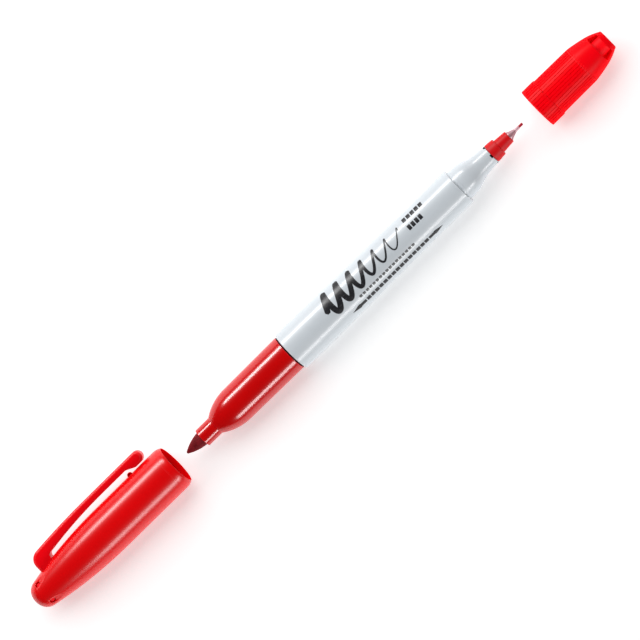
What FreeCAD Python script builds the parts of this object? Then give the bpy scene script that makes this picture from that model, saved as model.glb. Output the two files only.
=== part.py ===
import FreeCAD, Part
import math
import os
import re
import Sketcher

# A marker with a bullet nib at one end and an ultra-fine point at the other, with a cap for each,
# both caps pulled off and in line with the marker. All sizes are in millimetres.
#
# The marker's axis is X. The origin is on that axis, in the plane of the shoulder that stops the
# ultra-fine cap. +X points to the ultra-fine point, +Y to the side that the clip is on, +Z is up.
# Each piece is drawn along X from its own first face, and its Placement puts it on the marker.

# One row for each driving dimension: its name, its value and what it measures.
DIMENSIONS = [
    ("barrel_length", 60.3, "grey barrel, open end to shoulder"),
    ("barrel_mouth_radius", 5.94, "barrel at its open end"),
    ("grip_radius", 5.42, "straight part of the barrel beside the shoulder"),
    ("grip_length", 12.0, "length of that straight part"),
    ("mouth_round", 0.25, "rounding of the barrel's open end"),
    ("shoulder_round", 0.12, "rounding of the shoulder"),
    ("socket_radius", 4.75, "bore that takes the fine section's plug"),
    ("socket_length", 8.1, "depth of that bore"),
    ("barrel_bore", 4.4, "bore behind the socket"),
    ("bore_end", 3.5, "where that bore starts to narrow, before the shoulder"),
    ("neck_length", 11.5, "shoulder to the neck's rim"),
    ("neck_radius", 4.51, "neck beside the shoulder"),
    ("neck_bore", 3.55, "bore inside the wide part of the neck"),
    ("neck_straight", 1.3, "straight part of the neck beside the shoulder"),
    ("bead_start", 0.45, "shoulder to the snap bead"),
    ("bead_width", 0.75, "snap bead along the axis"),
    ("bead_height", 0.06, "snap bead above the neck"),
    ("neck_fall_length", 3.7, "rounded fall of the neck along the axis"),
    ("neck_fall", 0.71, "how far that fall comes in"),
    ("hollow_length", 3.9, "hollow of the neck along the axis"),
    ("hollow_fall", 0.85, "how far the hollow comes in"),
    ("hollow_arc", 12.2, "radius of the hollow's outline"),
    ("neck_tip_radius", 2.73, "neck at its rim"),
    ("holder_bore", 1.9, "bore that holds the ultra-fine holder's plug"),
    ("holder_bore_length", 4.3, "length of that bore"),
    ("rib_width", 0.8, "ribs that centre the ink store"),
    ("rib_inset", 2.0, "socket to the ribs"),
    ("rib_length", 44.0, "length of those ribs"),
    ("vent_slot_width", 1.0, "air slots in the neck's rim"),
    ("vent_slot_depth", 0.5, "depth of those slots along the axis"),
    ("vent_slot_floor", 2.3, "radius where the slots end inside"),
    ("section_length", 32.02, "fine section, nib tube's end to the barrel"),
    ("section_radius", 5.26, "fine section at the barrel"),
    ("joint_gap", 0.45, "groove between the section and the barrel"),
    ("tube_length", 4.55, "nib tube"),
    ("tube_radius", 2.63, "nib tube"),
    ("tube_round", 0.12, "rounding of the nib tube's end"),
    ("nib_bore", 2.0, "bore of the nib tube"),
    ("nib_bore_length", 7.6, "length of that bore"),
    ("dome_start", 4.9, "nib tube's end to the dome"),
    ("dome_start_radius", 2.8, "where the dome leaves the nib tube"),
    ("dome_fillet", 0.45, "radius of the corner between tube and dome"),
    ("dome_end", 12.6, "nib tube's end to the dome's end"),
    ("dome_end_radius", 5.12, "where the dome meets the straight part"),
    ("section_bore", 4.1, "bore round the ink store"),
    ("store_start", 13.0, "nib tube's end to the ink store"),
    ("store_length", 74.8, "ink store"),
    ("store_radius", 3.95, "ink store without its wrap"),
    ("wrap_gap", 0.01, "between the store and its wrap"),
    ("wrap_radius", 4.05, "outside of the wrap"),
    ("tail_depth", 8.4, "how far the nib and the wick run into the store"),
    ("tail_room", 0.2, "space past their ends"),
    ("nib_exposed", 5.57, "bullet nib outside its tube"),
    ("nib_radius", 1.98, "bullet nib in its tube"),
    ("nib_tip_length", 0.22, "rounded point of the bullet nib"),
    ("nib_tip_radius", 0.36, "where that point ends"),
    ("nib_tip_arc", 0.42, "radius of that point"),
    ("nib_arc", 13.0, "radius of the bullet's outline"),
    ("nib_tail_length", 2.0, "pointed tail of the bullet nib"),
    ("nib_tail_radius", 0.6, "end of that tail"),
    ("plug_length", 6.0, "ultra-fine holder inside the neck"),
    ("plug_lead", 1.7, "tapered start of that plug"),
    ("plug_lead_radius", 1.5, "end of the plug"),
    ("rim_gap", 0.12, "between the neck's rim and the collar"),
    ("collar_length", 2.63, "collar of the ultra-fine holder"),
    ("collar_radius", 2.73, "collar beside the neck"),
    ("collar_end_radius", 2.5, "collar at its other end"),
    ("holder_tube_length", 3.65, "tube of the ultra-fine holder"),
    ("holder_tube_radius", 1.97, "tube beside the collar"),
    ("holder_tip_radius", 1.68, "tube at its front"),
    ("wick_radius", 0.9, "feed wick"),
    ("wick_gap", 0.03, "round the feed wick"),
    ("wick_reach", 2.5, "neck's rim to the wick's front"),
    ("shank_radius", 0.8, "point sleeve inside the holder"),
    ("shank_length", 3.6, "length of that shank"),
    ("flange_radius", 1.27, "flange of the point sleeve"),
    ("flange_length", 0.4, "flange along the axis"),
    ("cone_radius", 1.11, "cone of the point sleeve at the flange"),
    ("cone_end_radius", 0.52, "cone at its other end"),
    ("cone_length", 1.7, "cone along the axis"),
    ("point_tube_radius", 0.47, "point sleeve's tube at the cone"),
    ("point_tube_end_radius", 0.41, "the tube at its end"),
    ("point_tube_length", 1.4, "the tube along the axis"),
    ("point_bore", 0.36, "bore of the point sleeve"),
    ("point_nib_radius", 0.35, "ultra-fine nib"),
    ("point_nib_exposed", 1.2, "ultra-fine nib outside its tube"),
    ("point_nib_round", 0.25, "rounding of the ultra-fine nib"),
    ("fine_cap_length", 51.05, "fine cap"),
    ("fine_cap_pull", 41.7, "fine cap's mouth to the barrel, with the cap off"),
    ("fine_cap_radius", 6.33, "fine cap, straight part"),
    ("nose_flat", 0.4, "flat at the cap's closed end"),
    ("nose_length", 3.15, "rounded end of the cap along the axis"),
    ("nose_radius", 4.0, "where the rounded end meets the taper"),
    ("nose_arc", 3.6, "radius of the rounded end"),
    ("taper_end", 27.5, "closed end to the straight part"),
    ("lip_length", 2.05, "rounded lip at the mouth"),
    ("lip_radius", 5.68, "cap's outside at the mouth"),
    ("mouth_bore", 5.58, "cap's inside at the mouth"),
    ("mouth_lead", 1.2, "tapered lead in at the mouth"),
    ("fine_cap_bore", 5.34, "bore that grips the fine section"),
    ("cap_bore_start", 28.0, "closed end to that bore"),
    ("cap_pit_start", 3.4, "closed end to the inner taper"),
    ("cap_pit_radius", 2.95, "inner taper at that end"),
    ("cap_floor", 2.2, "thickness of the closed end"),
    ("cap_floor_radius", 1.9, "inside of the closed end"),
    ("vent_start", 3.1, "closed end to the vent holes"),
    ("vent_end", 4.8, "closed end to the end of the vent holes"),
    ("vent_ramp_end", 6.8, "closed end to the end of the ramps beside the holes"),
    ("vent_ramp_depth", 3.78, "radius where a ramp meets its hole"),
    ("vent_ramp_top", 4.64, "radius where a ramp meets the surface"),
    ("vent_inside", 2.2, "radius inside the wall where the holes stop"),
    ("vent_outside", 5.4, "radius outside the wall where the cut stops"),
    ("vent_width", 1.5, "width of a vent"),
    ("vent_angle", 45.0, "first vent, round from the clip's side, in degrees"),
    ("pip_place", 40.6, "closed end to the pip under the clip"),
    ("pip_height", 6.2, "axis to the pip's centre"),
    ("pip_radius", 0.82, "pip"),
    ("stem_radius", 1.5, "stem behind the fine seal"),
    ("seal_start", 10.2, "closed end to the fine seal's cup"),
    ("seal_shoulder", 0.6, "rounded rear of that cup"),
    ("seal_radius", 3.35, "cup outside"),
    ("seal_bore", 2.68, "cup inside, round the nib tube"),
    ("seal_floor", 1.0, "closed rear of the cup"),
    ("seal_lip", 23.6, "closed end to the cup's lip"),
    ("seal_lead", 0.5, "tapered lead in at the lip"),
    ("seal_lead_radius", 3.0, "lead in at the lip"),
    ("web_start", 20.2, "closed end to the web that holds the cup"),
    ("web_length", 1.0, "web along the axis"),
    ("web_radius", 5.08, "web's outside"),
    ("web_notch_floor", 4.3, "radius where the web's air notches end"),
    ("web_notch_width", 1.2, "width of an air notch"),
    ("prong_start", 3.5, "closed end to the prongs in the vents"),
    ("prong_width", 0.8, "a prong, both ways across"),
    ("prong_reach", 3.55, "axis to a prong's end"),
    ("clip_width", 4.3, "clip across"),
    ("clip_gap", 0.06, "between the clip's root and the cap"),
    ("clip_root_start", 6.67, "closed end to the clip's rear"),
    ("clip_root_depth", 3.6, "height where the clip's blank starts"),
    ("clip_bend_arc", 2.95, "radius of the rear bend"),
    ("clip_crown_arc", 235.0, "radius of the clip's back between its rear bend and its level stretch"),
    ("clip_crown_start", 28.0, "closed end to the clip's level stretch"),
    ("clip_top", 9.96, "height of the clip's back"),
    ("clip_tip_centre", 45.15, "closed end to the centre of the round tip"),
    ("clip_tip_radius", 1.65, "round tip"),
    ("clip_ball_start", 43.4, "closed end to where the ball turns level"),
    ("clip_ball_end", 40.9, "closed end to where the ball meets the arm"),
    ("clip_under", 7.9, "height of the arm's underside"),
    ("clip_under_start", 32.0, "closed end to where the underside turns level"),
    ("clip_slot_end", 12.3, "closed end to the slot's rounded end"),
    ("clip_slot_height", 6.5, "height of the underside there"),
    ("clip_slot_round", 1.0, "rounding of the slot's end"),
    ("clip_edge", 0.5, "rounding along the clip's back"),
    ("ultra_cap_length", 25.1, "ultra-fine cap"),
    ("ultra_cap_pull", 27.89, "shoulder to this cap's mouth, with the cap off"),
    ("band_radius", 5.8, "band at this cap's mouth"),
    ("band_length", 4.1, "band along the axis"),
    ("band_round", 0.3, "rounding of the mouth"),
    ("band_step", 0.2, "slope behind the band"),
    ("body_radius", 5.57, "ribbed body beside the band"),
    ("body_end_radius", 5.47, "ribbed body at its other end"),
    ("body_end", 15.6, "mouth to the end of the ribbed body"),
    ("shoulder_arc", 49.0, "radius of the outline from there to the windows"),
    ("window_start", 21.2, "mouth to the windows"),
    ("window_start_radius", 4.4, "outside where the windows start"),
    ("crown_arc", 16.0, "radius of the outline past the windows' start"),
    ("crown_end_radius", 2.92, "outside beside the flat end"),
    ("end_round", 0.35, "rounding of the flat end"),
    ("window_end", 23.8, "mouth to the windows' end"),
    ("window_half_start", 3.8, "half of a window's height at its start"),
    ("window_half_end", 2.9, "half of a window's height at its end"),
    ("window_web", 2.6, "thickness of the web across the middle of the windows"),
    ("web_overlap", 0.15, "how far that web runs into its neighbours"),
    ("bulkhead", 0.8, "wall in front of the windows"),
    ("bulkhead_radius", 3.6, "inside, where it meets that wall"),
    ("post_hole", 2.72, "hole for the seal's post"),
    ("ultra_cap_bore", 4.63, "bore over the neck's bead"),
    ("ultra_bore_end", 14.6, "mouth to the end of that bore"),
    ("ultra_mouth_bore", 4.9, "bore at the mouth"),
    ("ultra_mouth_lead", 0.9, "tapered lead in at the mouth"),
    ("groove_width", 0.36, "grip grooves between the ribs"),
    ("groove_depth", 0.16, "depth of those grooves"),
    ("groove_start", 0.5, "mouth to the grooves"),
    ("groove_end", 16.3, "mouth to the end of the grooves"),
    ("ultra_seal_lip", 12.1, "mouth to the ultra-fine seal's lip"),
    ("ultra_seal_bore", 2.76, "seal's inside at the lip"),
    ("ultra_seal_step", 14.6, "mouth to the seal's inner step"),
    ("ultra_step_bore", 2.58, "seal's inside before the step"),
    ("ultra_inner_bore", 2.03, "seal's inside after the step"),
    ("ultra_end_bore", 1.9, "seal's inside at its floor"),
    ("ultra_seal_floor", 0.7, "closed end of the seal"),
    ("ultra_seal_radius", 3.35, "seal's outside"),
    ("ultra_web_start", 15.6, "mouth to the web that holds the seal"),
    ("ultra_web_length", 0.8, "web along the axis"),
    ("ultra_web_radius", 4.28, "web's outside"),
    ("post_taper_start", 18.6, "mouth to where the seal narrows to its post"),
    ("post_start", 20.2, "mouth to the post"),
    ("post_radius", 2.66, "post"),
]

BARREL_RIBS = 3
NECK_SLOTS = 5
NECK_SLOT_ANGLE = 99.0
CAP_VENTS = 4
GRIP_GROOVES = 42
WINDOWS = 2

document = FreeCAD.newDocument("Marker")
sizes = document.addObject("Spreadsheet::Sheet", "Sizes")
for row, (alias, size, meaning) in enumerate(DIMENSIONS, start=1):
    sizes.set(f"A{row}", alias)
    sizes.set(f"B{row}", str(size))
    sizes.setAlias(f"B{row}", alias)
    sizes.set(f"C{row}", meaning)
document.recompute()

pieces = []


def bound(formula):
    """The formula with each dimension's name, but no function's, written as a reference to the sheet."""
    return re.sub(r"\b[a-z][a-z_]+\b(?!\()", r"Sizes.\g<0>", formula)


def worth(formula):
    """The formula's present value."""
    return float(sizes.evalExpression(bound(formula)))


def tangent_arc(run, fall):
    """The radius of an arc that leaves a line parallel to the axis and falls so far over that run."""
    return f"(({run}) * ({run}) + ({fall}) * ({fall})) / (2 * ({fall}))"


def start_piece(label, place):
    """A body with its own name, put along the axis at the place that the formula gives."""
    body = document.addObject("PartDesign::Body", label)
    body.Label = label
    body.setExpression("Placement.Base.x", bound(place))
    pieces.append(body)
    return body


def origin_feature(body, role):
    """One of the body's own origin planes or axes."""
    return next(f for f in body.Origin.OriginFeatures if f.Role == role)


def arc_middle(start, end, radius, turn):
    """The middle of the shorter arc between two points. turn is 1 anticlockwise and -1 clockwise."""
    chord = end - start
    half = chord.Length / 2
    left = FreeCAD.Vector(-chord.y, chord.x, 0).normalize()
    to_centre = math.sqrt(max(radius * radius - half * half, 0))
    return (start + end) / 2 - left * (turn * (radius - to_centre))


def draw_outline(body, name, path, roll=0.0):
    """A closed outline in the plane through the axis, rolled about the axis by so many degrees.

    Each point is (along, out) or (along, out, radius, turn), where the last two say that an arc
    of that radius leads to the point. All are formulas in the sheet's dimensions."""
    sketch = body.newObject("Sketcher::SketchObject", name)
    sketch.AttachmentSupport = [(origin_feature(body, "XY_Plane"), "")]
    sketch.MapMode = "FlatFace"
    axis = FreeCAD.Vector(1, 0, 0)
    sketch.AttachmentOffset = FreeCAD.Placement(FreeCAD.Vector(), FreeCAD.Rotation(axis, roll))
    corners = [FreeCAD.Vector(worth(point[0]), worth(point[1]), 0) for point in path]
    ends = []
    for number, point in enumerate(path):
        start, end = corners[number - 1], corners[number]
        if len(point) == 2:
            line = sketch.addGeometry(Part.LineSegment(start, end))
            ends.append((line, 1, 2))
            continue
        middle = arc_middle(start, end, worth(point[2]), point[3])
        arc = sketch.addGeometry(Part.Arc(start, middle, end))
        forward = (sketch.getPoint(arc, 1) - start).Length < (sketch.getPoint(arc, 2) - start).Length
        ends.append((arc, 1, 2) if forward else (arc, 2, 1))
    for number, point in enumerate(path):
        piece, _, last = ends[number]
        following, first, _ = ends[(number + 1) % len(path)]
        sketch.addConstraint(Sketcher.Constraint("Coincident", piece, last, following, first))
        measures = [("DistanceX", point[0], corners[number].x), ("DistanceY", point[1], corners[number].y)]
        for kind, formula, value in measures:
            index = sketch.addConstraint(Sketcher.Constraint(kind, -1, 1, piece, last, value))
            sketch.setExpression(f"Constraints[{index}]", bound(formula))
        if len(point) == 4:
            index = sketch.addConstraint(Sketcher.Constraint("Radius", piece, worth(point[2])))
            sketch.setExpression(f"Constraints[{index}]", bound(point[2]))
    return sketch


def turn_outline(body, name, path, kind="PartDesign::Revolution"):
    """The outline turned about the axis: a solid, or with a Groove a cut."""
    sketch = draw_outline(body, name + "_outline", path)
    turned = body.newObject(kind, name)
    turned.Profile = sketch
    turned.ReferenceAxis = (sketch, ["H_Axis"])
    turned.Angle = 360
    body.Tip = turned
    document.recompute()
    return turned


def spread_outline(body, name, path, width, kind, roll=0.0):
    """The outline made as thick as the width, half to each side: a Pad or a Pocket."""
    sketch = draw_outline(body, name + "_outline", path, roll)
    spread = body.newObject(kind, name)
    spread.Profile = sketch
    spread.SideType = "Symmetric"
    spread.setExpression("Length", bound(width))
    body.Tip = spread
    document.recompute()
    return spread


def repeat_round(body, feature, count):
    """The feature repeated evenly round the axis."""
    pattern = body.newObject("PartDesign::PolarPattern", feature.Name + "_pattern")
    pattern.Originals = [feature]
    pattern.Axis = (origin_feature(body, "X_Axis"), [""])
    pattern.Angle = 360
    pattern.Occurrences = count
    body.Tip = pattern
    document.recompute()
    return pattern


def rectangle(along_from, along_to, out_from, out_to):
    """A rectangle's four corners as an outline."""
    return [(along_from, out_from), (along_from, out_to), (along_to, out_to), (along_to, out_from)]


def make_barrel():
    """Tapered tube with a straight grip, a shoulder, and a neck that narrows to a vented rim."""
    body = start_piece("barrel", "-barrel_length")
    bead_arc = "(bead_width * bead_width / 4 + bead_height * bead_height) / (2 * bead_height)"
    fall_end = "barrel_length + neck_straight + neck_fall_length"
    hollow_end = fall_end + " + hollow_length"
    hollow_radius = "neck_radius - neck_fall - hollow_fall"
    rim = "barrel_length + neck_length"
    turn_outline(body, "barrel_wall", [
        ("0", "socket_radius"),
        ("0", "barrel_mouth_radius - mouth_round"),
        ("mouth_round", "barrel_mouth_radius", "mouth_round", -1),
        ("barrel_length - grip_length", "grip_radius"),
        ("barrel_length - shoulder_round", "grip_radius"),
        ("barrel_length", "grip_radius - shoulder_round", "shoulder_round", -1),
        ("barrel_length", "neck_radius"),
        ("barrel_length + bead_start", "neck_radius"),
        ("barrel_length + bead_start + bead_width", "neck_radius", bead_arc, -1),
        ("barrel_length + neck_straight", "neck_radius"),
        (fall_end, "neck_radius - neck_fall", tangent_arc("neck_fall_length", "neck_fall"), -1),
        (hollow_end, hollow_radius, "hollow_arc", 1),
        (rim, "neck_tip_radius"),
        (rim, "holder_bore"),
        (rim + " - holder_bore_length", "holder_bore"),
        ("barrel_length + neck_straight", "neck_bore"),
        ("barrel_length", "neck_bore"),
        ("barrel_length - bore_end", "barrel_bore"),
        ("socket_length", "barrel_bore"),
        ("socket_length", "socket_radius"),
    ])
    ribs_from = "socket_length + rib_inset"
    path = rectangle(ribs_from, ribs_from + " + rib_length", "wrap_radius + 2 * wrap_gap", "barrel_bore + joint_gap")
    rib = spread_outline(body, "store_rib", path, "rib_width", "PartDesign::Pad")
    repeat_round(body, rib, BARREL_RIBS)
    path = rectangle(rim + " - vent_slot_depth", rim + " + joint_gap", "vent_slot_floor", "neck_radius")
    slot = spread_outline(body, "rim_slot", path, "vent_slot_width", "PartDesign::Pocket", NECK_SLOT_ANGLE)
    repeat_round(body, slot, NECK_SLOTS)


def make_fine_section():
    """Nose piece: nib tube, dome, straight part, and a plug inside the barrel."""
    body = start_piece("fine_section", "-barrel_length - section_length")
    dome_arc = tangent_arc("dome_end - dome_start", "dome_end_radius - dome_start_radius")
    turn_outline(body, "section_wall", [
        ("0", "nib_bore"),
        ("0", "tube_radius - tube_round"),
        ("tube_round", "tube_radius", "tube_round", -1),
        ("tube_length", "tube_radius"),
        ("dome_start", "dome_start_radius", "dome_fillet", 1),
        ("dome_end", "dome_end_radius", dome_arc, -1),
        ("section_length - joint_gap", "section_radius"),
        ("section_length - joint_gap", "socket_radius"),
        ("section_length + socket_length", "socket_radius"),
        ("section_length + socket_length", "section_bore"),
        ("store_start", "section_bore"),
        ("nib_bore_length", "nib_bore"),
    ])


def make_bullet_nib():
    """Pressed fibre rod with a bullet front and a pointed tail."""
    length = "nib_exposed + store_start + tail_depth"
    body = start_piece("bullet_nib", "-barrel_length - section_length - nib_exposed")
    turn_outline(body, "nib_rod", [
        ("0", "0"),
        ("nib_tip_length", "nib_tip_radius", "nib_tip_arc", -1),
        ("nib_exposed", "nib_radius", "nib_arc", -1),
        (length + " - nib_tail_length", "nib_radius"),
        (length, "nib_tail_radius"),
        (length, "0"),
    ])


def make_reservoir():
    """Fibre ink store with a pocket at each end for the nib and the wick, and its film wrap."""
    place = "-barrel_length - section_length + store_start"
    core = start_piece("reservoir_core", place)
    pocket = "tail_depth + tail_room"
    turn_outline(core, "ink_fibre", [
        ("0", "nib_bore"),
        ("0", "store_radius"),
        ("store_length", "store_radius"),
        ("store_length", "wick_radius + wick_gap"),
        ("store_length - " + pocket.replace("+", "-"), "wick_radius + wick_gap"),
        ("store_length - " + pocket.replace("+", "-"), "0"),
        (pocket, "0"),
        (pocket, "nib_bore"),
    ])
    wrap = start_piece("reservoir_wrap", place)
    turn_outline(wrap, "film", rectangle("0", "store_length", "store_radius + wrap_gap", "wrap_radius"))


def make_feed_wick():
    """Rod from inside the ink store to the back of the ultra-fine nib."""
    store_end = "section_length + barrel_length - store_start - store_length"
    body = start_piece("feed_wick", f"-({store_end}) - tail_depth")
    length = f"{store_end} + tail_depth + neck_length + wick_reach"
    turn_outline(body, "wick_rod", rectangle("0", length, "0", "wick_radius"))


def make_ultra_fine_holder():
    """Plug in the neck, a tapered collar against the rim, and a tapered tube round the sleeve."""
    body = start_piece("ultra_fine_holder", "neck_length - plug_length")
    collar = "plug_length + rim_gap"
    front = collar + " + collar_length + holder_tube_length"
    turn_outline(body, "holder_wall", [
        ("0", "wick_radius + wick_gap"),
        ("0", "plug_lead_radius"),
        ("plug_lead", "holder_bore"),
        (collar, "holder_bore"),
        (collar, "collar_radius - tube_round"),
        (collar + " + tube_round", "collar_radius", "tube_round", -1),
        (collar + " + collar_length", "collar_end_radius"),
        (collar + " + collar_length", "holder_tube_radius"),
        (front, "holder_tip_radius"),
        (front, "shank_radius"),
        ("plug_length + wick_reach", "shank_radius"),
        ("plug_length + wick_reach", "wick_radius + wick_gap"),
    ])


def make_point():
    """Sleeve with a shank, a flange, a cone and a fine tube, and the nib that runs through it."""
    flange = "neck_length + rim_gap + collar_length + holder_tube_length"
    sleeve = start_piece("point_sleeve", flange + " - shank_length")
    cone = "shank_length + flange_length"
    tube = cone + " + cone_length"
    turn_outline(sleeve, "sleeve_wall", [
        ("0", "point_bore"),
        ("0", "shank_radius"),
        ("shank_length", "shank_radius"),
        ("shank_length", "flange_radius"),
        (cone, "flange_radius"),
        (cone, "cone_radius"),
        (tube, "cone_end_radius"),
        (tube, "point_tube_radius"),
        (tube + " + point_tube_length", "point_tube_end_radius"),
        (tube + " + point_tube_length", "point_bore"),
    ])
    nib = start_piece("ultra_fine_nib", "neck_length + wick_reach")
    reach = "rim_gap + collar_length + holder_tube_length + flange_length + cone_length"
    length = f"{reach} + point_tube_length + point_nib_exposed - wick_reach"
    turn_outline(nib, "nib_rod", [
        ("0", "0"),
        ("0", "point_nib_radius"),
        (length + " - point_nib_round", "point_nib_radius"),
        (length, "point_nib_radius - point_nib_round", "point_nib_round", -1),
        (length, "0"),
    ])


def cap_taper_arc():
    """Radius of the fine cap's outline between its rounded end and its straight part."""
    return tangent_arc("taper_end - nose_length", "fine_cap_radius - nose_radius")


def make_fine_cap_shell():
    """Long cap, closed and rounded at one end, with vents there and a pip under the clip."""
    body = start_piece("fine_cap_shell", "-barrel_length - fine_cap_pull - fine_cap_length")
    lip_arc = tangent_arc("lip_length", "fine_cap_radius - lip_radius")
    inner_arc = tangent_arc("cap_bore_start - cap_pit_start", "fine_cap_bore - cap_pit_radius")
    turn_outline(body, "cap_wall", [
        ("cap_floor", "0"),
        ("0", "0"),
        ("0", "nose_flat"),
        ("nose_length", "nose_radius", "nose_arc", -1),
        ("taper_end", "fine_cap_radius", cap_taper_arc(), -1),
        ("fine_cap_length - lip_length", "fine_cap_radius"),
        ("fine_cap_length", "lip_radius", lip_arc, -1),
        ("fine_cap_length", "mouth_bore"),
        ("fine_cap_length - mouth_lead", "fine_cap_bore"),
        ("cap_bore_start", "fine_cap_bore"),
        ("cap_pit_start", "cap_pit_radius", inner_arc, 1),
        ("cap_floor", "cap_floor_radius"),
    ])
    vent_path = [
        ("vent_start", "vent_inside"),
        ("vent_start", "vent_outside"),
        ("vent_ramp_end", "vent_outside"),
        ("vent_ramp_end", "vent_ramp_top"),
        ("vent_end", "vent_ramp_depth"),
        ("vent_end", "vent_inside"),
    ]
    turn = worth("vent_angle")
    vent = spread_outline(body, "vent", vent_path, "vent_width", "PartDesign::Pocket", turn)
    repeat_round(body, vent, CAP_VENTS)
    pip = body.newObject("PartDesign::AdditiveSphere", "pip")
    pip.setExpression("Radius", bound("pip_radius"))
    pip.AttachmentSupport = [(origin_feature(body, "XY_Plane"), "")]
    pip.MapMode = "FlatFace"
    pip.setExpression("AttachmentOffset.Base.x", bound("pip_place"))
    pip.setExpression("AttachmentOffset.Base.y", bound("pip_height"))
    body.Tip = pip


def make_fine_cap_seal():
    """Cup round the nib tube, held by a notched web, with a stem and prongs behind it."""
    body = start_piece("fine_cap_seal", "-barrel_length - fine_cap_pull - fine_cap_length")
    turn_outline(body, "seal_wall", [
        ("cap_floor", "0"),
        ("cap_floor", "stem_radius"),
        ("seal_start", "stem_radius"),
        ("seal_start + seal_shoulder", "seal_radius"),
        ("web_start", "seal_radius"),
        ("web_start", "web_radius"),
        ("web_start + web_length", "web_radius"),
        ("web_start + web_length", "seal_radius"),
        ("seal_lip", "seal_radius"),
        ("seal_lip", "seal_lead_radius"),
        ("seal_lip - seal_lead", "seal_bore"),
        ("seal_start + seal_floor", "seal_bore"),
        ("seal_start + seal_floor", "0"),
    ])
    turn = worth("vent_angle")
    path = rectangle("prong_start", "prong_start + prong_width", "stem_radius / 2", "prong_reach")
    prong = spread_outline(body, "prong", path, "prong_width", "PartDesign::Pad", turn)
    repeat_round(body, prong, CAP_VENTS)
    web_end = "web_start + web_length + joint_gap"
    path = rectangle("web_start - joint_gap", web_end, "web_notch_floor", "fine_cap_radius")
    notch = spread_outline(body, "web_notch", path, "web_notch_width", "PartDesign::Pocket", turn)
    repeat_round(body, notch, CAP_VENTS)


def back_edges(shape):
    """Names of the edges along the clip's two sides, from its rear round its back and tip to the ball."""
    side = worth("clip_width") / 2
    names = []
    for number, edge in enumerate(shape.Edges, start=1):
        middle = edge.valueAt((edge.FirstParameter + edge.LastParameter) / 2)
        on_back = middle.y > worth("clip_under + clip_gap") or middle.x > worth("clip_ball_start")
        if abs(abs(middle.z) - side) < 0.01 and (on_back or middle.x < worth("clip_root_start") + 0.01):
            names.append(f"Edge{number}")
    return names


def make_pocket_clip():
    """Arm beside the fine cap, with a root at the closed end and a ball at the tip."""
    body = start_piece("pocket_clip", "-barrel_length - fine_cap_pull - fine_cap_length")
    bend_run = "(clip_crown_start - clip_root_start - clip_bend_arc)"
    slant = f"({bend_run} / (clip_crown_arc - clip_bend_arc))"
    level = f"sqrt(1 - {slant} * {slant})"
    bend_top = f"clip_top - clip_crown_arc * (1 - {level})"
    under_arc = tangent_arc("clip_under_start - clip_slot_end", "clip_under - clip_slot_height")
    tip_height = "clip_top - clip_tip_radius"
    slot_end = "clip_slot_end - clip_slot_round"
    pad = spread_outline(body, "clip_blank", [
        ("clip_root_start", "clip_root_depth"),
        ("clip_root_start", f"{bend_top} - clip_bend_arc * {level}"),
        (f"clip_crown_start - clip_crown_arc * {slant}", bend_top, "clip_bend_arc", -1),
        ("clip_crown_start", "clip_top", "clip_crown_arc", -1),
        ("clip_tip_centre", "clip_top"),
        ("clip_tip_centre + clip_tip_radius", tip_height, "clip_tip_radius", -1),
        ("clip_tip_centre", tip_height + " - clip_tip_radius", "clip_tip_radius", -1),
        ("clip_ball_start", tip_height + " - clip_tip_radius"),
        ("clip_ball_end", "clip_under"),
        ("clip_under_start", "clip_under"),
        ("clip_slot_end", "clip_slot_height", under_arc, 1),
        (slot_end, "clip_slot_height - clip_slot_round", "clip_slot_round", 1),
        (slot_end, "clip_root_depth"),
    ], "clip_width", "PartDesign::Pad")
    rounded = body.newObject("PartDesign::Fillet", "clip_edges")
    rounded.Base = (pad, back_edges(pad.Shape))
    rounded.setExpression("Radius", bound("clip_edge"))
    body.Tip = rounded
    document.recompute()
    turn_outline(body, "clip_seat", [
        ("nose_length", "0"),
        ("nose_length", "nose_radius + clip_gap"),
        ("taper_end", "fine_cap_radius + clip_gap", cap_taper_arc() + " + clip_gap", -1),
        ("taper_end", "0"),
    ], "PartDesign::Groove")


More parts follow.
